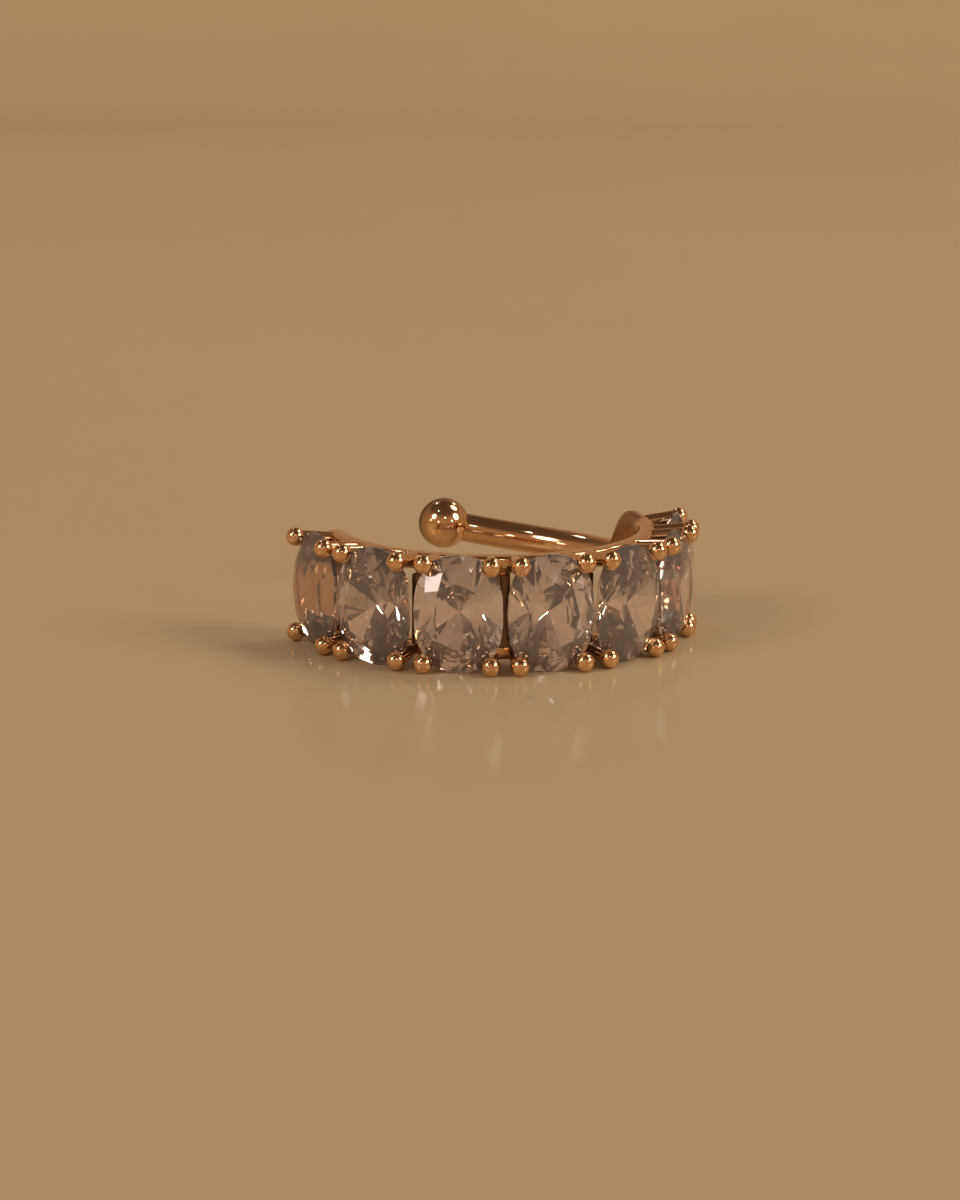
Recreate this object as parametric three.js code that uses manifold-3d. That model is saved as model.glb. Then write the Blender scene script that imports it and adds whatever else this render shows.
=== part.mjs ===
// An open ear cuff: a half circle of oval brilliant stones in four-prong settings, closed on one
// side by a plain shoulder that narrows to a round wire, and the wire ends in a ball.
// Millimetres, +Z up. The cuff lies on its side: Z is the axis of its hollow, z = 0 is the
// surface it rests on, and the middle stone faces -Y. Angles run round Z from -Y towards +X.
import * as THREE from "three";
import { ConvexGeometry } from "three/addons/geometries/ConvexGeometry.js";
import { mergeVertices } from "three/addons/utils/BufferGeometryUtils.js";
import Module from "manifold-3d";

const wasm = await Module();
wasm.setup();

// Cuff
const innerDiameter = 10.6; // clear width inside the band
const culetRecess = 0.14; // from the inside of the band out to the culets of the stones

// Stones
const stoneCount = 7;
const stoneWidth = 3.0; // round the cuff
const stoneHeight = 4.0; // along the cuff's axis
const stoneEnds = 2.1; // form of the outline's short ends: 2 for an ellipse, more for flatter
const stoneSides = 2.7; // form of its long sides, in the same way
const stoneGap = 0.14; // between the girdles of two neighbours
const crownHeight = 0.45;
const girdleThickness = 0.08;
const pavilionDepth = 1.25;
const tableShare = 0.56; // of the stone's width and height
const starReach = 0.5; // of the star facets, on the way from the table's edge to the girdle
const lowerShare = 0.25; // where the lower girdle facets end, from the culet outwards
const seatClearance = 0.03; // between a stone and the metal that holds it

// Gallery: two rails joined by a strut between every two stones, with a thin web in front of it
const railHeight = 0.56;
const railThickness = 0.6;
const railEdge = 0.08; // the small bevel along the edges of a rail
const railOver = 0.08; // of the rails' outer faces beyond the middles of the prongs' tips
const strutWidth = 0.5;
const strutShare = 0.8; // of the rails' thickness
const webWidth = 0.34; // round the cuff
const webReach = 0.64; // from the outside of the rails out to the gap between the girdles

// Prongs
const prongDiameter = 0.5;
const tipDiameter = 0.66;
const prongTurn = 47; // degrees round the stone from its wide side to each prong
const tipOut = 0.13; // from the stone's outline out to the middle of the shank and the tip
const tipRise = 0.27; // from the girdle up to the middle of the tip

// Shoulder, wire and ball end. The end cap is as tall as the band.
const shoulderArc = 1.51; // length along the band over which it narrows to the wire
const shoulderRise = 0.15; // of the shoulder above and below the rails
const endCapArc = 2.1; // length of the solid cap at the free end of the band
const wireDiameter = 1.1;
const wireDrop = 0.12; // of the wire's start below the middle of the band
const ballDiameter = 1.9;
const ballTurn = 178; // degrees from the middle stone round to the ball
const ballLift = 0.52; // of the ball above the middle of the band
const ballFlare = 0.5; // of the ball's middle outside the circle that the wire starts on

// Fineness of the round forms
const roundSides = 12; // of the wire and the shoulder
const ballSides = 16;
const prongSides = 10;
const rodSides = 8;
const stepDegrees = 5; // of turn for each step along a rail; the wire's steps are twice as long

// The shoulder on its way to the wire: along is the share of the shoulder's length, rise the
// share of its rise over the rails, narrow the share of the way from its size to the wire's, and
// square the form of the section, from 2 for an ellipse to 5 for nearly a rectangle. It starts
// inside the band.
const SHOULDER = [
  { along: -0.55, rise: 0.0, narrow: 0.0, square: 5.0 },
  { along: 0.0, rise: 0.6, narrow: 0.0, square: 4.5 },
  { along: 0.31, rise: 1.0, narrow: 0.04, square: 4.0 },
  { along: 0.57, rise: 1.0, narrow: 0.19, square: 3.2 },
  { along: 0.76, rise: 1.0, narrow: 0.42, square: 2.6 },
  { along: 0.88, rise: 1.0, narrow: 0.7, square: 2.2 },
  { along: 1.0, rise: 1.0, narrow: 1.0, square: 2.0 },
];
// The rounded cap from the free end inwards, as shares of its length and of its height
const END_CAP = [
  { along: 0.0, tall: 0.8, square: 3.0 },
  { along: 0.1, tall: 0.94, square: 3.6 },
  { along: 0.3, tall: 1.0, square: 4.5 },
  { along: 0.72, tall: 1.0, square: 4.5 },
  { along: 1.0, tall: 0.9, square: 4.5 },
];

const rad = THREE.MathUtils.degToRad;
const lerp = THREE.MathUtils.lerp;
const halfWidth = stoneWidth / 2;
const halfHeight = stoneHeight / 2;
const innerRadius = innerDiameter / 2;
const bandRadius = innerRadius + railThickness / 2;
const girdleRadius = innerRadius + culetRecess + cutLevels(0).culet;
// The turn from one stone to the next leaves stoneGap between the edges of their girdles.
const edgeRadius = Math.hypot(girdleRadius, halfWidth);
const pitch = 2 * (Math.asin(stoneGap / 2 / edgeRadius) + Math.atan(halfWidth / girdleRadius));
const rowEnd = (stoneCount * pitch) / 2; // half the angle that the row of stones takes
const tipHeight = outline(rad(prongTurn), tipOut).y; // of the tips above the band's middle
const bandHalf = tipHeight + railOver; // half the height over both rails
const wireRadius = innerRadius + wireDiameter / 2;

const gold = { color: 0xd8a05c, roughness: 0.16, metalness: 1.0 };
const clear = { color: 0xf2eeea, roughness: 0.02, metalness: 0.0 };

// A point at a turn round the cuff, a radius, and a height above the band's middle
function polar(turn, radius, height) {
  return new THREE.Vector3(radius * Math.sin(turn), -radius * Math.cos(turn), height);
}

// The frame of a stone: x round the cuff, y along its axis, z outwards, from the cuff's axis
function stoneFrame(turn) {
  const round = new THREE.Vector3(Math.cos(turn), Math.sin(turn), 0);
  const along = new THREE.Vector3(0, 0, 1);
  return new THREE.Matrix4().makeBasis(round, along, polar(turn, 1, 0));
}

// A point of a superellipse, whose half sizes are 1. Both forms are 2 for an ellipse; a higher
// one flattens its ends, in y, or its sides, in x.
function roundedBox(angle, ends, sides) {
  const c = Math.cos(angle);
  const s = Math.sin(angle);
  return new THREE.Vector2(
    Math.sign(c) * Math.abs(c) ** (2 / ends),
    Math.sign(s) * Math.abs(s) ** (2 / sides),
  );
}

// The outline of a stone at an angle round it, moved out square to the outline
function outline(angle, out) {
  const at = roundedBox(angle, stoneEnds, stoneSides);
  const away = new THREE.Vector2(
    (Math.sign(at.x) * stoneEnds * Math.abs(at.x) ** (stoneEnds - 1)) / halfWidth,
    (Math.sign(at.y) * stoneSides * Math.abs(at.y) ** (stoneSides - 1)) / halfHeight,
  );
  at.set(at.x * halfWidth, at.y * halfHeight);
  return at.add(away.normalize().multiplyScalar(out));
}

// Height of the band's middle when the cuff lies on its lowest tips or stones
function restHeight() {
  return Math.max(tipHeight + tipDiameter / 2, halfHeight, bandHalf);
}

// Levels of a stone grown by a clearance, from the middle of its girdle
function cutLevels(grow) {
  const crown = crownHeight + grow;
  const pavilion = pavilionDepth + grow;
  const facet = Math.PI / 4; // a kite facet and its neighbour
  const flat = Math.cos(facet / 2);
  const star = lerp(tableShare, 1, starReach);
  const starHeight = (crown * (1 - star * flat)) / (1 - tableShare);
  const lowerDepth = pavilion * (1 - lowerShare * flat);
  // How far a girdle facet drops from its corners to the middle of its curved edge
  const corner = Math.cos(facet / 4);
  const crownDrop = ((1 / corner - 1) * starHeight) / (1 - star);
  const pavilionDrop = ((1 / corner - 1) * lowerDepth) / (1 - lowerShare);
  const edge = girdleThickness / 2 + Math.max(crownDrop, pavilionDrop);
  return {
    star,
    edge,
    crownEdge: edge - crownDrop,
    pavilionEdge: edge - pavilionDrop,
    starTop: edge + starHeight,
    table: edge + crown,
    lowerEnd: edge + lowerDepth,
    culet: edge + pavilion,
  };
}

function manifoldOf(geometry) {
  const bare = geometry.clone();
  bare.deleteAttribute("normal");
  bare.deleteAttribute("uv");
  const merged = mergeVertices(bare, 1e-5);
  return new wasm.Manifold(
    new wasm.Mesh({
      numProp: 3,
      vertProperties: merged.attributes.position.array,
      triVerts: new Uint32Array(merged.index.array),
    }),
  );
}

function geometryOf(solid) {
  const mesh = solid.getMesh();
  const geometry = new THREE.BufferGeometry();
  geometry.setAttribute("position", new THREE.BufferAttribute(mesh.vertProperties, 3));
  geometry.setIndex(new THREE.BufferAttribute(mesh.triVerts, 1));
  return geometry;
}

// A skin over rings of points, with a flat end on the first and the last ring
function loft(rings) {
  const count = rings[0].length;
  const points = rings.flat();
  const faces = [];
  for (let r = 0; r + 1 < rings.length; r++) {
    for (let i = 0; i < count; i++) {
      const a = r * count + i;
      const b = r * count + ((i + 1) % count);
      faces.push(a, b + count, b, a, a + count, b + count);
    }
  }
  const last = (rings.length - 1) * count;
  for (let i = 1; i + 1 < count; i++) {
    faces.push(0, i, i + 1, last, last + i + 1, last + i);
  }
  const geometry = new THREE.BufferGeometry().setFromPoints(points);
  geometry.setIndex(faces);
  return geometry;
}

// A section across the band: a superellipse that is round at square 2 and boxy above it
function section(turn, radius, height, halfThick, halfTall, square) {
  const ring = [];
  for (let i = 0; i < roundSides; i++) {
    const at = roundedBox((2 * Math.PI * (i + 0.5)) / roundSides, square, square);
    ring.push(polar(turn, radius + at.x * halfThick, height + at.y * halfTall));
  }
  return ring;
}

// Oval brilliant cut, grown on every side by the clearance: table, star, kite and girdle
// facets above, and main and lower girdle facets that meet in the culet below
function stoneGeometry(grow) {
  const at = cutLevels(grow);
  const facet = Math.PI / 4;
  const points = [new THREE.Vector3(0, 0, -at.culet)];
  const put = (angle, share, height) => {
    const at = roundedBox(angle, stoneEnds, stoneSides).multiplyScalar(share);
    points.push(new THREE.Vector3((halfWidth + grow) * at.x, (halfHeight + grow) * at.y, height));
  };
  for (let k = 0; k < 8; k++) {
    put(k * facet, tableShare, at.table);
    put((k + 0.5) * facet, at.star, at.starTop);
    put((k + 0.5) * facet, lowerShare, -at.lowerEnd);
    for (const corner of [k, k + 0.5]) {
      put(corner * facet, 1, at.edge);
      put(corner * facet, 1, -at.edge);
      put((corner + 0.25) * facet, 1, at.crownEdge);
      put((corner + 0.25) * facet, 1, -at.pavilionEdge);
    }
  }
  return new ConvexGeometry(points).translate(0, 0, girdleRadius);
}

// A flat ring sector with bevelled edges: the upper rail of the gallery, or the lower one
function railGeometry(upper) {
  const shape = new THREE.Shape();
  const start = -Math.PI / 2 - rowEnd;
  const end = -Math.PI / 2 + rowEnd;
  shape.absarc(0, 0, innerRadius + railThickness - railEdge, start, end, false);
  shape.absarc(0, 0, innerRadius + railEdge, end, start, true);
  const geometry = new THREE.ExtrudeGeometry(shape, {
    depth: railHeight - 2 * railEdge,
    bevelThickness: railEdge,
    bevelSize: railEdge,
    bevelSegments: 1,
    curveSegments: Math.ceil(THREE.MathUtils.radToDeg(2 * rowEnd) / stepDegrees),
  });
  const low = upper ? bandHalf - railHeight : -bandHalf;
  return geometry.translate(0, 0, low + railEdge);
}

// An upright bar from the middle of one rail to the middle of the other
function strutGeometry(turn) {
  const bar = new THREE.BoxGeometry(
    strutWidth,
    2 * bandHalf - railHeight,
    railThickness * strutShare,
  );
  return bar.translate(0, 0, bandRadius).applyMatrix4(stoneFrame(turn));
}

// A thin wall between the rails, from the strut out to just behind the stones' girdles
function webGeometry(turn) {
  const depth = railThickness / 2 + webReach;
  const web = new THREE.BoxGeometry(webWidth, 2 * (bandHalf - railHeight), depth);
  return web.translate(0, 0, bandRadius + depth / 2).applyMatrix4(stoneFrame(turn));
}

// A prong in its stone's frame: a straight shank from the rail and a round tip over the girdle
function prongGeometries(sideX, sideY) {
  const angle = Math.atan2(sideY * Math.sin(rad(prongTurn)), sideX * Math.cos(rad(prongTurn)));
  const at = outline(angle, tipOut);
  const tipAt = new THREE.Vector3(at.x, at.y, girdleRadius + tipRise);
  // Seen along the cuff's axis the shank points straight out. It starts level with its rail.
  const inwards = bandRadius / Math.hypot(tipAt.x, tipAt.z);
  const level = sideY * (bandHalf - prongDiameter / 2);
  const foot = new THREE.Vector3(tipAt.x * inwards, level, tipAt.z * inwards);
  return [rod(foot, tipAt, prongDiameter), ball(tipAt, tipDiameter, prongSides)];
}

// A round bar between two points
function rod(from, to, diameter) {
  const along = new THREE.Vector3().subVectors(to, from);
  const bar = new THREE.CylinderGeometry(diameter / 2, diameter / 2, along.length(), rodSides);
  const upright = new THREE.Vector3(0, 1, 0);
  const turn = new THREE.Quaternion().setFromUnitVectors(upright, along.normalize());
  const place = new THREE.Vector3().addVectors(from, to).multiplyScalar(0.5);
  return bar.applyQuaternion(turn).translate(place.x, place.y, place.z);
}

function ball(at, diameter, sides) {
  const sphere = new THREE.SphereGeometry(diameter / 2, sides, Math.ceil(sides * 0.6));
  return sphere.translate(at.x, at.y, at.z);
}

// The shoulder, which starts as tall as the band, and the wire
function shoulderAndWire() {
  const shoulderEnd = rowEnd + shoulderArc / bandRadius;
  const rings = SHOULDER.map((row) => {
    const turn = lerp(rowEnd, shoulderEnd, row.along);
    const halfThick = lerp(railThickness, wireDiameter, row.narrow) / 2;
    const halfTall = lerp(bandHalf + shoulderRise * row.rise, wireDiameter / 2, row.narrow);
    const height = -wireDrop * row.narrow;
    return section(turn, innerRadius + halfThick, height, halfThick, halfTall, row.square);
  });
  const wireEnd = rad(ballTurn);
  const steps = Math.ceil((wireEnd - shoulderEnd) / rad(2 * stepDegrees));
  for (let i = 1; i <= steps; i++) {
    const share = i / steps;
    const turn = lerp(shoulderEnd, wireEnd, share);
    const radius = wireRadius + ballFlare * share ** 2;
    const height = lerp(-wireDrop, ballLift, share ** 3);
    rings.push(section(turn, radius, height, wireDiameter / 2, wireDiameter / 2, 2));
  }
  const end = polar(wireEnd, wireRadius + ballFlare, ballLift);
  return [loft(rings), ball(end, ballDiameter, ballSides)];
}

// The solid, rounded cap at the free end of the band
function endCap() {
  const rings = END_CAP.map((row) => {
    const turn = -rowEnd + (row.along * endCapArc) / bandRadius;
    return section(turn, bandRadius, 0, railThickness / 2, row.tall * bandHalf, row.square);
  });
  return loft(rings);
}

function stoneTurn(index) {
  return (index - (stoneCount - 1) / 2) * pitch;
}

// All the metal, soldered into one solid, with a seat cut for each stone
function cuffFrame() {
  const pieces = [railGeometry(true), railGeometry(false), endCap(), ...shoulderAndWire()];
  for (let i = 1; i < stoneCount; i++) {
    const between = (stoneTurn(i - 1) + stoneTurn(i)) / 2;
    pieces.push(strutGeometry(between), webGeometry(between));
  }
  for (let i = 0; i < stoneCount; i++) {
    for (const sideX of [-1, 1]) {
      for (const sideY of [-1, 1]) {
        for (const piece of prongGeometries(sideX, sideY)) {
          pieces.push(piece.applyMatrix4(stoneFrame(stoneTurn(i))));
        }
      }
    }
  }
  let solid = wasm.Manifold.union(pieces.map(manifoldOf));
  const seat = stoneGeometry(seatClearance);
  for (let i = 0; i < stoneCount; i++) {
    solid = solid.subtract(manifoldOf(seat.clone().applyMatrix4(stoneFrame(stoneTurn(i)))));
  }
  return geometryOf(solid);
}

function named(name, geometry, finish) {
  const mesh = new THREE.Mesh(geometry, new THREE.MeshStandardMaterial(finish));
  mesh.name = name;
  return mesh;
}

const cuff = new THREE.Group();
cuff.add(named("cuff_frame", cuffFrame(), gold));
for (let i = 0; i < stoneCount; i++) {
  const stone = named("stone_" + (i + 1), stoneGeometry(0), clear);
  stone.applyMatrix4(stoneFrame(stoneTurn(i)));
  cuff.add(stone);
}
cuff.position.z = restHeight();

export default cuff;
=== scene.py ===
# The ear cuff as it looks: polished gold round seven clear oval stones, lying on a pale floor.
# Lengths are metres. A turn is an angle round the cuff's axis, Z, from -Y towards +X, in radians.
from math import acos, asin, atan, atan2, cos, hypot, pi, radians, sin, sqrt, tan
import bmesh
import bpy
from mathutils import Matrix, Vector


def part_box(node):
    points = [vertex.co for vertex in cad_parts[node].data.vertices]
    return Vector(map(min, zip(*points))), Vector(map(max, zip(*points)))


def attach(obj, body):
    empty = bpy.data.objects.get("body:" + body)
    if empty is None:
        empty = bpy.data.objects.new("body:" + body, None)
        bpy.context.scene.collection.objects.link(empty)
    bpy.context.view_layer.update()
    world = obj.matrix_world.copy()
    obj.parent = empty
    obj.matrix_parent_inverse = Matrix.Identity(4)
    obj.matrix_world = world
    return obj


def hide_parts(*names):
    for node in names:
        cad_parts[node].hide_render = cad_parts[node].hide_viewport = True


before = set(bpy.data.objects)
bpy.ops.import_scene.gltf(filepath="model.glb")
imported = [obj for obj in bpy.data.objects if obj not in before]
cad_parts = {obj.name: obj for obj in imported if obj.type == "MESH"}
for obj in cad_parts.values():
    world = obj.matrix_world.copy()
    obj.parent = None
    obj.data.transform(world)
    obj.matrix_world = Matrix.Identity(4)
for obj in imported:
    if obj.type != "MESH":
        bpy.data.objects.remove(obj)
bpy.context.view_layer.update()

MM = 0.001
TO_MM = 1000
TOUCHING = 0.0005 * MM  # points nearer than this are one point

# Stones
STONES = ["stone_%d" % number for number in range(1, 8)]
STONE_WIDTH = 3.0 * MM
STONE_HEIGHT = 4.0 * MM
STONE_GAP = 0.14 * MM
STONE_ENDS = 2.1  # form of the outline's short ends: 2 for an ellipse, more for flatter
STONE_SIDES = 2.7  # form of its long sides, in the same way
GIRDLE_RADIUS = 6.755 * MM  # from the cuff's axis to the middle of each girdle
SEAT_CLEARANCE = 0.03 * MM

# Gallery behind the stones
INNER_RADIUS = 5.3 * MM
RAIL_HEIGHT = 0.56 * MM
RAIL_THICKNESS = 0.6 * MM
RAIL_ROUNDING = 0.13 * MM
RAIL_OVER = 0.08 * MM  # of the rails' outer faces beyond the middles of the prongs' tips
STRUT_WIDTH = 0.5 * MM
STRUT_THICKNESS = 0.48 * MM
STRUT_ROUNDING = 0.08 * MM
WEB_WIDTH = 0.34 * MM
WEB_ROUNDING = 0.05 * MM
WEB_REACH = 0.64 * MM  # from the outside of the rails out to the gap between the girdles

# Prongs
PRONG_RADIUS = 0.25 * MM
TIP_RADIUS = 0.33 * MM
PRONG_TURN = radians(47)  # round the stone from its wide side
TIP_OUT = 0.13 * MM
TIP_RISE = 0.27 * MM

# Form of a bar's cross-section: 2 for an ellipse, more for squarer corners
ROUND_FORM = 2.0
FLAT_FORM = 5.0
CAP_END_FORM = 3.2

# Shoulder, wire and ball
SHOULDER_ARC = 1.51 * MM
SHOULDER_RISE = 0.15 * MM  # of the shoulder above and below the rails
SHOULDER_FIRST_RISE = 0.6  # share of that rise where it leaves the rails
SHOULDER_RISE_PACE = 3  # it has the full rise at one part in so many of its bend
SHOULDER_START = 0.83 * MM  # how far the shoulder reaches back between the rails
SHOULDER_EDGE = 0.06 * MM
SHOULDER_BOW = 1.3  # form of its fall to the wire: 1 for a quarter circle, more for steeper
SHOULDER_SOFTENING = 0.6  # under 1, it turns round sooner than it turns narrow
WIRE_RADIUS = 0.55 * MM
WIRE_DROP = 0.12 * MM
BALL_RADIUS = 0.95 * MM
BALL_TURN = radians(178)
BALL_LIFT = 0.52 * MM
BALL_FLARE = 0.5 * MM

# End cap: its round free end and its lower inner end, in shares of its length and section
END_CAP_ARC = 2.1 * MM
CAP_PROUD = 0.02 * MM  # how far it stands out past the rails' cut ends
CAP_ROUNDED = 0.18
CAP_END_THICKNESS = 0.72
CAP_END_HEIGHT = 0.84
CAP_SLOPED = 0.28
CAP_INNER_HEIGHT = 0.9
CAP_SLOPE_FORM = 1.5

# How finely the round forms are divided
RAIL_STEPS = 110
SECTION_SIDES = 40
SHOULDER_STEPS = 24
WIRE_STEPS = 64
CAP_STEPS = 22
BALL_SEGMENTS = 64
BALL_RINGS = 40
PRONG_SIDES = 28
TIP_STEPS = 14
FLOOR_SIDES = 128
FLOOR_STEPS = 12

BAND_RADIUS = INNER_RADIUS + RAIL_THICKNESS / 2
EDGE_RADIUS = hypot(GIRDLE_RADIUS, STONE_WIDTH / 2)
PITCH = 2 * (asin(STONE_GAP / 2 / EDGE_RADIUS) + atan(STONE_WIDTH / 2 / GIRDLE_RADIUS))
ROW_END = len(STONES) * PITCH / 2
STONE_TURNS = [(number - (len(STONES) - 1) / 2) * PITCH for number in range(len(STONES))]
MIDDLE = (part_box("stone_4")[0][2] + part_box("stone_4")[1][2]) / 2  # height of the band's middle

# Gold: its colours, its roughness, and what the polishing marks and the painted shade, which is
# also rougher, add to that
GOLD_DEEP = (0.80, 0.52, 0.29, 1)
GOLD_PALE = (0.86, 0.58, 0.34, 1)
# painted shade: the dark colour the gold takes where shade falls behind the stones and inside the
# shoulder
GOLD_PAINTED_SHADE = (0.16, 0.09, 0.045, 1)
GOLD_ROUGHNESS = 0.07
MARKS_ROUGHNESS = 0.08
DULL_ROUGHNESS = 0.25

# Its painted shade, darker gold where shade falls: each step of a mask runs between two pairs of a
# place, in millimetres, and the share of painted shade there, where the gold is also rougher. One
# is behind the stones' girdles, the other on the shoulder's inner side.
RAIL_FACE = TO_MM * (BAND_RADIUS + RAIL_THICKNESS / 2)
BEHIND_FROM_RAILS = (RAIL_FACE - 0.04, 0.0), (RAIL_FACE + 0.03, 0.35)
BEHIND_FURTHER_OUT = (6.1, 0.0), (6.35, 0.65)
BEHIND_TO_GIRDLES = (6.5, 1.0), (6.75, 0.0)
BEHIND_UP_AND_DOWN = (1.4, 1.0), (1.8, 0.0)
INSIDE_OUT = (5.4, 0.7), (5.7, 0.0)
INSIDE_FROM_FRONT = (-1.3, 0.0), (-0.6, 1.0)
INSIDE_TO_BACK = (1.6, 1.0), (2.6, 0.0)
INSIDE_FROM_MIDDLE = (0.0, 0.0), (2.0, 1.0)

# The other colours
STONE_ROSE = (1.0, 0.87, 0.87, 1)
STONE_BROWN = (1.0, 0.90, 0.83, 1)
FLOOR_DEEP = (0.58, 0.450, 0.270, 1)
FLOOR_PALE = (0.62, 0.481, 0.290, 1)
FLOOR_ROUGHNESS = 0.62
CLOUD_ROUGHNESS = 0.06  # what the floor's clouds add to that

# Camera, from the picture: the cuff's middle in the 960 x 1200 frame, and where it is seen from
PICTURE = Vector((960, 1200))
MIDDLE_PIXEL = Vector((488.5, 570.9))
FOCAL_PIXELS = 2441.0
CAMERA_DISTANCE = 86.97 * MM
CAMERA_TURN = radians(-17.8)
CAMERA_ELEVATION = radians(12.34)
CAMERA_ROLL = radians(0.5)
CAMERA_NEAREST = 1 * MM
SENSOR = 36.0

FLOOR_RADIUS = 0.6
FLOOR_BEND = 0.11  # radius of the curve that lifts its rim
# The room by height, from 0 at the horizon to 1 straight up: a plain wall, then a dark ceiling
ROOM = (
    (0.0, (0.395, 0.235, 0.130)),
    (0.5, (0.370, 0.216, 0.126)),
    (0.75, (0.120, 0.069, 0.041)),
    (1.0, (0.100, 0.058, 0.034)),
)

# Lamps: where the cuff sees each, as a turn from the camera's side and an elevation, then half
# the angle that it fills, all in degrees, its light on the floor in W/m2, and its colour
WARM = (1.0, 0.86, 0.72)
COOL = (0.78, 0.88, 1.0)
ROSE = (1.0, 0.86, 0.86)
LAMPS = (
    ("light_right", 70, 30, 12, 0.54, WARM),
    ("light_left", -54, 34, 9, 0.36, WARM),
    ("light_rear", 112, 54, 11, 0.46, WARM),
    ("light_window", -64, 16.5, 3, 0.0127, (1.0, 0.80, 0.73)),
    ("glint_front", 8, 34, 1.5, 0.03, COOL),
    ("glint_left", -50, 62, 1.5, 0.05, COOL),
    ("glint_low_left", -24, 14, 2.0, 0.012, ROSE),
    ("glint_low_right", 42, 18, 2.2, 0.02, ROSE),
    ("glint_back", 150, 40, 1.5, 0.06, WARM),
    ("glint_back_left", -150, 52, 1.5, 0.06, (0.95, 0.9, 1.0)),
)
LAMP_DISTANCE = 1.2
STONE_BOUNCES = 24


def polar(turn, radius, height):
    """A point at a turn round the cuff, a radius, and a height over the band's middle."""
    return Vector((radius * sin(turn), -radius * cos(turn), MIDDLE + height))


def seen_at(turn, elevation, distance):
    """A point that is seen from the cuff's middle at a turn, an elevation and a distance."""
    return polar(turn, distance * cos(elevation), distance * sin(elevation))


def facing(at, target):
    """The matrix of a camera or a lamp at a point, that looks at another point."""
    return Matrix.Translation(at) @ (target - at).to_track_quat("-Z", "Y").to_matrix().to_4x4()


def mix(first, second, share):
    return first + (second - first) * share


def stone_frame(turn):
    """The frame of a stone: x round the cuff, y along its axis, z outwards from the axis."""
    across = Vector((cos(turn), sin(turn), 0))
    outwards = Vector((sin(turn), -cos(turn), 0))
    matrix = Matrix((across, Vector((0, 0, 1)), outwards)).transposed().to_4x4()
    matrix.translation = (0, 0, MIDDLE)
    return matrix


def outline(angle, out):
    """The stone's outline in its first quarter, moved out square to the outline."""
    half = Vector((STONE_WIDTH / 2, STONE_HEIGHT / 2))
    forms = (STONE_ENDS, STONE_SIDES)
    at = Vector([share ** (2 / form) for share, form in zip((cos(angle), sin(angle)), forms)])
    away = Vector([
        form * share ** (form - 1) / side for share, form, side in zip(at, forms, half)
    ])
    return at * half + away.normalized() * out


TIP_AT = outline(PRONG_TURN, TIP_OUT)  # the middle of a prong's tip, from its stone's middle
BAND_HALF = TIP_AT.y + RAIL_OVER


class Value:
    """A shader socket that takes Python's operators: each adds a Math node."""

    def __init__(self, finish, socket):
        self.finish = finish
        self.socket = socket

    def math(self, operation, *numbers):
        return self.finish.node("ShaderNodeMath", {"operation": operation}, *numbers)

    def __add__(self, other):
        return self.math("ADD", self, other)

    def __sub__(self, other):
        return self.math("SUBTRACT", self, other)

    def __mul__(self, other):
        return self.math("MULTIPLY", self, other)

    def __pow__(self, other):
        return self.math("POWER", self, other)

    def __rsub__(self, other):
        return self.math("SUBTRACT", other, self)

    def __abs__(self):
        return self.math("ABSOLUTE", self)

    __radd__ = __add__
    __rmul__ = __mul__


class Finish:
    """A procedural material on one Principled shader."""

    def __init__(self, name, **constants):
        self.material = bpy.data.materials.new(name)
        self.material.use_nodes = True
        self.nodes = self.material.node_tree.nodes
        self.links = self.material.node_tree.links
        self.shader = self.nodes["Principled BSDF"]
        for socket, value in constants.items():
            self.shader.inputs[socket.replace("_", " ")].default_value = value

    def feed(self, socket, value):
        if isinstance(value, Value):
            self.links.new(value.socket, socket)
        else:
            socket.default_value = value

    def node(self, kind, settings=None, *inputs, output=0, **named):
        """Adds a node: its settings first, then its inputs by order or by name."""
        node = self.nodes.new(kind)
        for setting, value in (settings or {}).items():
            setattr(node, setting, value)
        for socket, value in zip(node.inputs, inputs):
            self.feed(socket, value)
        for name, value in named.items():
            self.feed(node.inputs[name.replace("_", " ")], value)
        return Value(self, node.outputs[output])

    def place(self, scale=(1, 1, 1), turn=(0, 0, 0)):
        """Object coordinates in millimetres, stretched and turned."""
        coordinates = self.node("ShaderNodeTexCoord", output="Object")
        size = tuple(TO_MM * number for number in scale)
        return self.node("ShaderNodeMapping", {}, Vector=coordinates, Scale=size, Rotation=turn)

    def axes(self):
        """The three object coordinates in millimetres, each by itself."""
        return [
            self.node("ShaderNodeSeparateXYZ", {}, self.place(), output=axis) for axis in range(3)
        ]

    def noise(self, vector, scale, detail):
        return self.node(
            "ShaderNodeTexNoise", {}, Vector=vector, Scale=scale, Detail=detail, Roughness=0.5
        )

    def blend(self, factor, first, second):
        """A colour between two colours."""
        return self.node(
            "ShaderNodeMix", {"data_type": "RGBA"}, output=2,
            Factor=factor, A=first, B=second,
        )

    def ramp(self, value, start, end):
        """A smooth step: start and end are pairs of the value and the result."""
        return self.node(
            "ShaderNodeMapRange", {"interpolation_type": "SMOOTHSTEP"},
            value, start[0], end[0], start[1], end[1],
        )

    def set(self, socket, value):
        self.feed(self.shader.inputs[socket], value)


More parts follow.
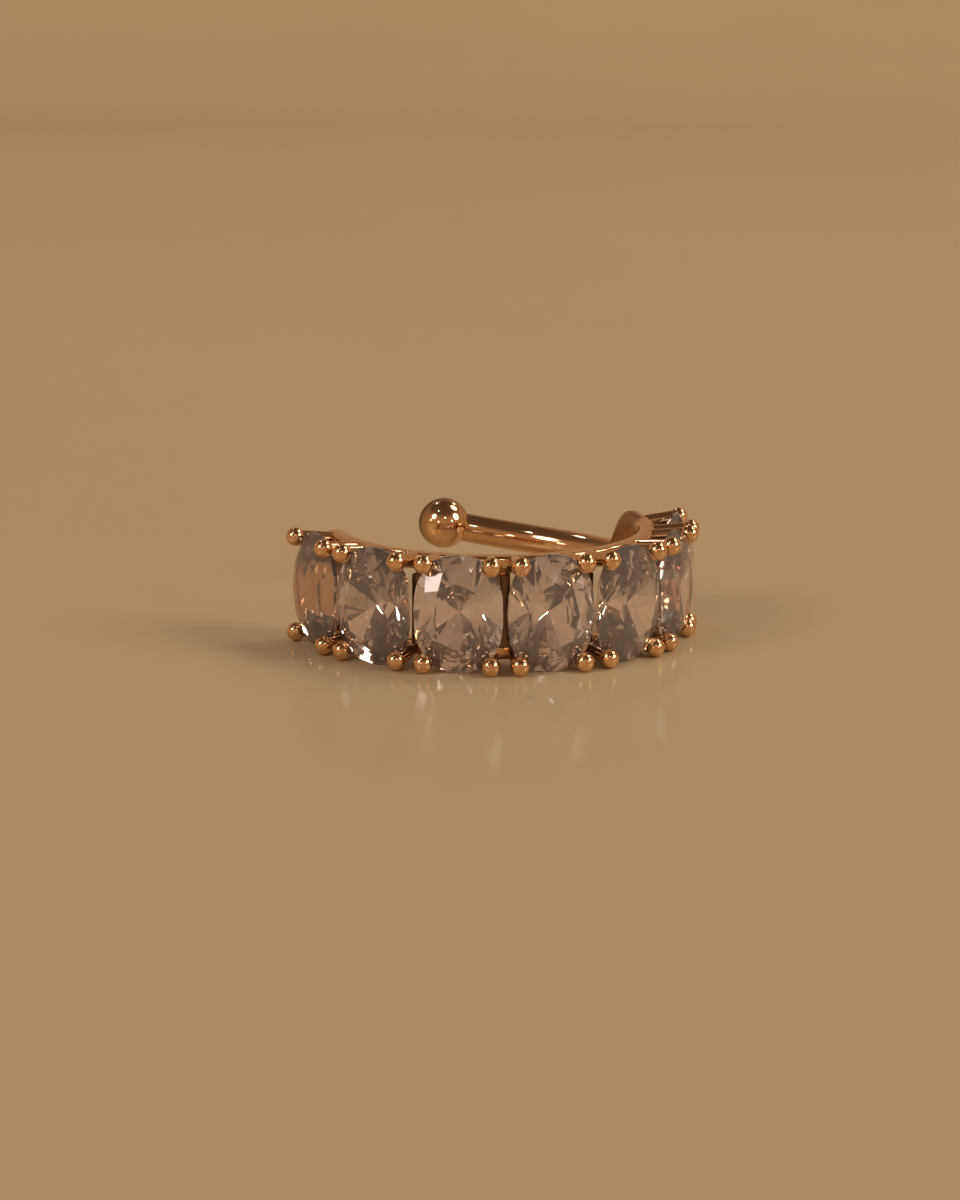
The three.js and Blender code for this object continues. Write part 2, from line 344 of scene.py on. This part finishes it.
def polished_gold():
    """Warm rosy gold plating with fine polishing marks, rougher and with painted shade behind the
    stones and on the shoulder's inner side.
    """
    finish = Finish("polished_gold", Metallic=1.0)
    clouds = finish.noise(finish.place(), scale=0.55, detail=2.0)
    brushed = finish.place(scale=(1, 1, 7), turn=(0.3, 0.2, 0))
    marks = finish.noise(brushed, scale=9.0, detail=4.0)
    x, y, z = finish.axes()
    radius = (x * x + y * y) ** 0.5
    behind = finish.ramp(radius, *BEHIND_FROM_RAILS) + finish.ramp(radius, *BEHIND_FURTHER_OUT)
    behind *= finish.ramp(radius, *BEHIND_TO_GIRDLES)
    behind *= finish.ramp(abs(z - TO_MM * MIDDLE), *BEHIND_UP_AND_DOWN)
    inside = finish.ramp(radius, *INSIDE_OUT) * finish.ramp(y, *INSIDE_TO_BACK)
    inside *= finish.ramp(y, *INSIDE_FROM_FRONT) * finish.ramp(x, *INSIDE_FROM_MIDDLE)
    # the mask of painted shade behind the stones and on the shoulder's inner side, where the gold
    # is also rougher
    painted_shade_and_dull = behind + inside
    plain = finish.blend(clouds, GOLD_DEEP, GOLD_PALE)
    roughness = GOLD_ROUGHNESS + MARKS_ROUGHNESS * marks * clouds + DULL_ROUGHNESS * painted_shade_and_dull
    relief = finish.node("ShaderNodeBump", {}, Strength=0.04, Distance=0.02 * MM, Height=marks)
    # the gold's colour darkens towards the painted shade colour by that mask
    finish.set("Base Color", finish.blend(painted_shade_and_dull, plain, GOLD_PAINTED_SHADE))
    finish.set("Roughness", roughness)
    finish.set("Normal", relief)
    return finish.material


def clear_stone():
    """Clear stone of high refraction, a little hazy, with a breath of rose and of brown."""
    finish = Finish("clear_stone", Roughness=0.0, IOR=2.16, Transmission_Weight=0.925)
    tint = finish.noise(finish.place(), scale=0.35, detail=1.0)
    finish.set("Base Color", finish.blend(tint, STONE_ROSE, STONE_BROWN))
    return finish.material


def pale_floor():
    """A pale lacquered board with faint clouds."""
    finish = Finish("pale_floor", Coat_Weight=0.4, Coat_Roughness=0.15, IOR=1.45)
    cloud = finish.noise(finish.place(), scale=0.02, detail=2.0)
    finish.set("Base Color", finish.blend(cloud, FLOOR_DEEP, FLOOR_PALE))
    finish.set("Roughness", FLOOR_ROUGHNESS + CLOUD_ROUGHNESS * cloud)
    return finish.material


def new_object(name, data):
    thing = bpy.data.objects.new(name, data)
    bpy.context.scene.collection.objects.link(thing)
    return thing


def mesh_from(bm, name):
    """The mesh of a bmesh, which ends here."""
    mesh = bpy.data.meshes.new(name)
    bm.to_mesh(mesh)
    bm.free()
    return mesh


def add_mesh(bm, mesh, matrix):
    """Adds a mesh to a bmesh, with a matrix applied to it."""
    known = set(bm.verts)
    bm.from_mesh(mesh)
    fresh = [vert for vert in bm.verts if vert not in known]
    bmesh.ops.transform(bm, matrix=matrix, verts=fresh)


def piece_from(bm, name, material, sharp=40):
    """A finished piece of the cuff from a bmesh, riding on the one body."""
    bmesh.ops.recalc_face_normals(bm, faces=bm.faces)
    mesh = mesh_from(bm, name)
    mesh.shade_smooth()
    mesh.set_sharp_from_angle(angle=radians(sharp))
    mesh.materials.append(material)
    piece = new_object(name, mesh)
    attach(piece, "root")
    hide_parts("cuff_frame")
    return piece


def sweep(bm, sections):
    """A closed skin through sections across the band, each extruded from the one before."""
    angle_of = bm.verts.layers.float.new("angle")
    ring = bmesh.ops.create_circle(bm, cap_ends=True, radius=MM, segments=SECTION_SIDES)["verts"]
    for vert in ring:
        vert[angle_of] = atan2(vert.co.y, vert.co.x)
    face = ring[0].link_faces[0]
    for number, section in enumerate(sections):
        if number:
            grown = bmesh.ops.extrude_face_region(bm, geom=[face])["geom"]
            if number > 1:  # the first face stays and closes the skin
                bm.faces.remove(face)
            face = next(part for part in grown if isinstance(part, bmesh.types.BMFace))
        for vert in face.verts:
            c, s = cos(vert[angle_of]), sin(vert[angle_of])
            power = 2 / section["form"]
            across = (abs(c) ** power) * (1 if c > 0 else -1) * section["half_thick"]
            up = (abs(s) ** power) * (1 if s > 0 else -1) * section["half_tall"]
            vert.co = polar(section["turn"], section["radius"] + across, section["height"] + up)


def rail(material, name, side):
    """A rail with rounded edges: its cross-section, spun round behind the stones."""
    bm = bmesh.new()
    size = Matrix.Diagonal((RAIL_THICKNESS / 2, RAIL_HEIGHT / 2, 1, 1))
    upright = Matrix.Rotation(pi / 2, 4, "X")
    height = MIDDLE + side * (BAND_HALF - RAIL_HEIGHT / 2)
    place = Matrix.Translation((BAND_RADIUS, 0, height)) @ upright @ size
    bmesh.ops.create_grid(bm, x_segments=1, y_segments=1, size=1.0, matrix=place)
    bmesh.ops.bevel(
        bm, geom=bm.verts, offset=RAIL_ROUNDING, segments=5, profile=0.5,
        affect="VERTICES", material=-1,
    )
    start = Matrix.Rotation(-pi / 2 - ROW_END, 3, "Z")
    bmesh.ops.rotate(bm, verts=bm.verts, cent=(0, 0, 0), matrix=start)
    bmesh.ops.spin(
        bm, geom=bm.verts[:] + bm.edges[:] + bm.faces[:], axis=(0, 0, 1), cent=(0, 0, 0),
        angle=2 * ROW_END, steps=RAIL_STEPS,
    )
    piece_from(bm, name, material)


def struts(material, cutter):
    """An upright bar from rail to rail between every two stones, and a thin web out to the gap."""
    bm = bmesh.new()
    depth = RAIL_THICKNESS / 2 + WEB_REACH
    bars = (
        ((STRUT_WIDTH, 2 * BAND_HALF - RAIL_HEIGHT, STRUT_THICKNESS), 0, STRUT_ROUNDING),
        ((WEB_WIDTH, 2 * (BAND_HALF - RAIL_HEIGHT), depth), depth / 2, WEB_ROUNDING),
    )
    for left, right in zip(STONE_TURNS, STONE_TURNS[1:]):
        for size, out, rounding in bars:
            middle = Matrix.Translation((0, 0, BAND_RADIUS + out))
            place = stone_frame((left + right) / 2) @ middle @ Matrix.Diagonal((*size, 1))
            bar = bmesh.ops.create_cube(bm, size=1.0, matrix=place)
            edges = {edge for vert in bar["verts"] for edge in vert.link_edges}
            bmesh.ops.bevel(
                bm, geom=list(edges), offset=rounding, segments=3, profile=0.5,
                affect="EDGES", material=-1,
            )
    cut_seats(piece_from(bm, "struts", material), cutter)


def shoulder_and_wire(material):
    """The plain shoulder, its rounded end, and the wire that carries on round the back."""
    sections = []

    def add(turn, narrow, rise=1.0, inset=0.0, flare=0.0, height=None):
        half_thick = mix(RAIL_THICKNESS / 2, WIRE_RADIUS, narrow)
        sections.append({
            "turn": turn,
            "radius": INNER_RADIUS + half_thick + flare,
            "height": -WIRE_DROP * narrow if height is None else height,
            "half_thick": half_thick - inset,
            "half_tall": mix(BAND_HALF + SHOULDER_RISE * rise, WIRE_RADIUS, narrow) - inset,
            "form": mix(FLAT_FORM, ROUND_FORM, narrow ** SHOULDER_SOFTENING),
        })

    start = ROW_END - SHOULDER_START / BAND_RADIUS
    for along, inset in ((0, 1), (0.3, 0.3), (1, 0)):  # the rounded edge, in shares of its size
        add(start + along * SHOULDER_EDGE / BAND_RADIUS, 0, rise=0, inset=inset * SHOULDER_EDGE)
    for step in range(SHOULDER_STEPS + 1):
        share = step / SHOULDER_STEPS
        lean = share * pi / 2
        turn = ROW_END + sin(lean) * SHOULDER_ARC / BAND_RADIUS
        rise = mix(SHOULDER_FIRST_RISE, 1, min(1, SHOULDER_RISE_PACE * share))
        add(turn, 1 - cos(lean) ** SHOULDER_BOW, rise=rise)
    wire_start = ROW_END + SHOULDER_ARC / BAND_RADIUS
    for step in range(1, WIRE_STEPS + 1):
        share = step / WIRE_STEPS
        add(
            mix(wire_start, BALL_TURN, share), 1,
            flare=BALL_FLARE * share ** 2, height=mix(-WIRE_DROP, BALL_LIFT, share ** 3),
        )
    bm = bmesh.new()
    sweep(bm, sections)
    piece_from(bm, "shoulder_and_wire", material)


def end_cap(material):
    """The solid, rounded end of the band at its open side."""
    sections = []
    for step in range(CAP_STEPS + 1):
        share = step / CAP_STEPS
        rounding = sqrt(max(0.0, 1 - (1 - min(1.0, share / CAP_ROUNDED)) ** 2))
        slope = max(0.0, (share - (1 - CAP_SLOPED)) / CAP_SLOPED) ** CAP_SLOPE_FORM
        height = mix(CAP_END_HEIGHT, 1, rounding) * mix(1, CAP_INNER_HEIGHT, slope)
        sections.append({
            "turn": -ROW_END + (share * END_CAP_ARC - CAP_PROUD) / BAND_RADIUS,
            "radius": BAND_RADIUS,
            "height": 0,
            "half_thick": RAIL_THICKNESS / 2 * mix(CAP_END_THICKNESS, 1, rounding),
            "half_tall": BAND_HALF * height,
            "form": mix(CAP_END_FORM, FLAT_FORM, rounding),
        })
    bm = bmesh.new()
    sweep(bm, sections)
    piece_from(bm, "end_cap", material)


def wire_ball(material):
    bm = bmesh.new()
    at = polar(BALL_TURN, INNER_RADIUS + WIRE_RADIUS + BALL_FLARE, BALL_LIFT)
    bmesh.ops.create_uvsphere(
        bm, u_segments=BALL_SEGMENTS, v_segments=BALL_RINGS, radius=BALL_RADIUS,
        matrix=Matrix.Translation(at),
    )
    piece_from(bm, "wire_ball", material)


def prong_mesh(length):
    """One prong along +Z: a round shank that swells into its tip."""
    bm = bmesh.new()
    neck = acos(PRONG_RADIUS / TIP_RADIUS)
    profile = [Vector((0, 0, 0)), Vector((PRONG_RADIUS, 0, 0))]
    for step in range(TIP_STEPS + 1):
        lean = mix(-neck, pi / 2, step / TIP_STEPS)
        at = Vector((TIP_RADIUS * cos(lean), 0, length + TIP_RADIUS * sin(lean)))
        profile.append(at)
    verts = [bm.verts.new(point) for point in profile]
    edges = [bm.edges.new(pair) for pair in zip(verts, verts[1:])]
    bmesh.ops.spin(
        bm, geom=verts + edges, axis=(0, 0, 1), cent=(0, 0, 0), angle=2 * pi, steps=PRONG_SIDES,
        use_merge=True,
    )
    bmesh.ops.remove_doubles(bm, verts=bm.verts, dist=TOUCHING)
    return mesh_from(bm, "prong")


def seat_cutter():
    """All the stones, merged and grown by the clearance, as one body to cut seats with."""
    bm = bmesh.new()
    grow = [1 + 2 * SEAT_CLEARANCE / side for side in (STONE_WIDTH, STONE_HEIGHT, STONE_WIDTH)]
    for name, turn in zip(STONES, STONE_TURNS):
        place = stone_frame(turn) @ Matrix.Translation((0, 0, GIRDLE_RADIUS))
        matrix = place @ Matrix.Diagonal((*grow, 1)) @ place.inverted()
        add_mesh(bm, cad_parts[name].data, matrix)
    bmesh.ops.remove_doubles(bm, verts=bm.verts, dist=TOUCHING)
    return new_object("seats", mesh_from(bm, "seats"))


def cut_seats(piece, cutter):
    """Takes the stones' seats out of a piece."""
    cut = piece.modifiers.new("seats", "BOOLEAN")
    cut.operation = "DIFFERENCE"
    cut.solver = "EXACT"
    cut.object = cutter
    ready = piece.evaluated_get(bpy.context.evaluated_depsgraph_get())
    mesh = bpy.data.meshes.new_from_object(ready)
    piece.modifiers.clear()
    mesh.name = piece.name
    piece.data = mesh


def prongs(material, cutter):
    """Four prongs to a stone, straight out from the rails, with the stones' seats cut in."""
    bm = bmesh.new()
    tip = Vector((*TIP_AT, GIRDLE_RADIUS + TIP_RISE))
    inwards = BAND_RADIUS / hypot(tip.x, tip.z)
    foot = Vector((tip.x * inwards, BAND_HALF - PRONG_RADIUS, tip.z * inwards))
    single = prong_mesh((tip - foot).length)
    corners = [Vector((side_x, side_y, 1)) for side_x in (-1, 1) for side_y in (-1, 1)]
    for turn in STONE_TURNS:
        for corner in corners:
            at = foot * corner
            aim = (tip * corner - at).to_track_quat("Z", "Y").to_matrix().to_4x4()
            add_mesh(bm, single, stone_frame(turn) @ Matrix.Translation(at) @ aim)
    bpy.data.meshes.remove(single)
    cut_seats(piece_from(bm, "prongs", material, sharp=35), cutter)


def camera():
    data = bpy.data.cameras.new("camera")
    data.sensor_width = SENSOR
    data.lens = FOCAL_PIXELS / max(PICTURE) * SENSOR
    data.clip_start = CAMERA_NEAREST
    eye = seen_at(CAMERA_TURN, CAMERA_ELEVATION, CAMERA_DISTANCE)
    middle = polar(0, 0, 0)
    away = (middle - eye).normalized()
    right = away.cross(Vector((0, 0, 1))).normalized()
    up = right.cross(away)
    pixel = CAMERA_DISTANCE / FOCAL_PIXELS
    aside = PICTURE / 2 - MIDDLE_PIXEL
    target = middle + right * aside.x * pixel - up * aside.y * pixel
    seen = new_object("camera", data)
    seen.matrix_world = facing(eye, target) @ Matrix.Rotation(CAMERA_ROLL, 4, "Z")
    bpy.context.scene.camera = seen


def floor(material):
    """A plain floor that curves up far from the cuff on every side, so no horizon shows."""
    bm = bmesh.new()
    flat = FLOOR_RADIUS - FLOOR_BEND
    bmesh.ops.create_circle(bm, cap_ends=True, segments=FLOOR_SIDES, radius=flat)
    rim = [edge for edge in bm.edges if edge.is_boundary]
    leans = [step / FLOOR_STEPS * pi / 2 for step in range(FLOOR_STEPS + 1)]
    for before, lean in zip(leans, leans[1:]):
        grown = bmesh.ops.extrude_edge_only(bm, edges=rim)["geom"]
        verts = [part for part in grown if isinstance(part, bmesh.types.BMVert)]
        rim = [part for part in grown if isinstance(part, bmesh.types.BMEdge)]
        wider = (flat + FLOOR_BEND * sin(lean)) / (flat + FLOOR_BEND * sin(before))
        bmesh.ops.scale(bm, vec=(wider, wider, 1), verts=verts)
        lift = FLOOR_BEND * (cos(before) - cos(lean))
        bmesh.ops.translate(bm, vec=(0, 0, lift), verts=verts)
    bmesh.ops.recalc_face_normals(bm, faces=bm.faces)
    mesh = mesh_from(bm, "floor")
    mesh.shade_smooth()
    mesh.materials.append(material)
    new_object("floor", mesh)


def lamp(name, turn, elevation, spread, light_on_floor, colour):
    """A soft round light that faces the cuff, given as the table of lamps says."""
    data = bpy.data.lights.new(name, "AREA")
    data.shape = "DISK"
    data.size = 2 * LAMP_DISTANCE * tan(radians(spread))
    data.energy = light_on_floor * pi * LAMP_DISTANCE ** 2 / sin(radians(elevation))
    data.color = colour
    at = seen_at(CAMERA_TURN + radians(turn), radians(elevation), LAMP_DISTANCE)
    new_object(name, data).matrix_world = facing(at, polar(0, 0, 0))


def room():
    """A plain wall all round that darkens upwards."""
    world = bpy.data.worlds.new("room")
    bpy.context.scene.world = world
    world.use_nodes = True
    nodes, links = world.node_tree.nodes, world.node_tree.links
    shades = nodes.new("ShaderNodeValToRGB")
    stops = shades.color_ramp.elements
    while len(stops) < len(ROOM):
        stops.new(0.5)
    for stop, (height, colour) in zip(stops, ROOM):
        stop.position = height
        stop.color = (*colour, 1)
    split = nodes.new("ShaderNodeSeparateXYZ")
    links.new(nodes.new("ShaderNodeTexCoord").outputs["Generated"], split.inputs[0])
    links.new(split.outputs["Z"], shades.inputs[0])
    links.new(shades.outputs[0], nodes["Background"].inputs["Color"])


def studio():
    """The lamps and their room, plain colours, and enough bounces of light for the stones."""
    for values in LAMPS:
        lamp(*values)
    bpy.context.scene.view_settings.view_transform = "Standard"
    bpy.context.scene.cycles.max_bounces = STONE_BOUNCES
    bpy.context.scene.cycles.transmission_bounces = STONE_BOUNCES
    room()


gold = polished_gold()
camera()
rail(gold, "rail_upper", 1)
rail(gold, "rail_lower", -1)
cutter = seat_cutter()
struts(gold, cutter)
prongs(gold, cutter)
bpy.data.objects.remove(cutter)
end_cap(gold)
shoulder_and_wire(gold)
wire_ball(gold)
stone_finish = clear_stone()
for name in STONES:
    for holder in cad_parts[name].material_slots:
        holder.material = stone_finish
floor(pale_floor())
studio()
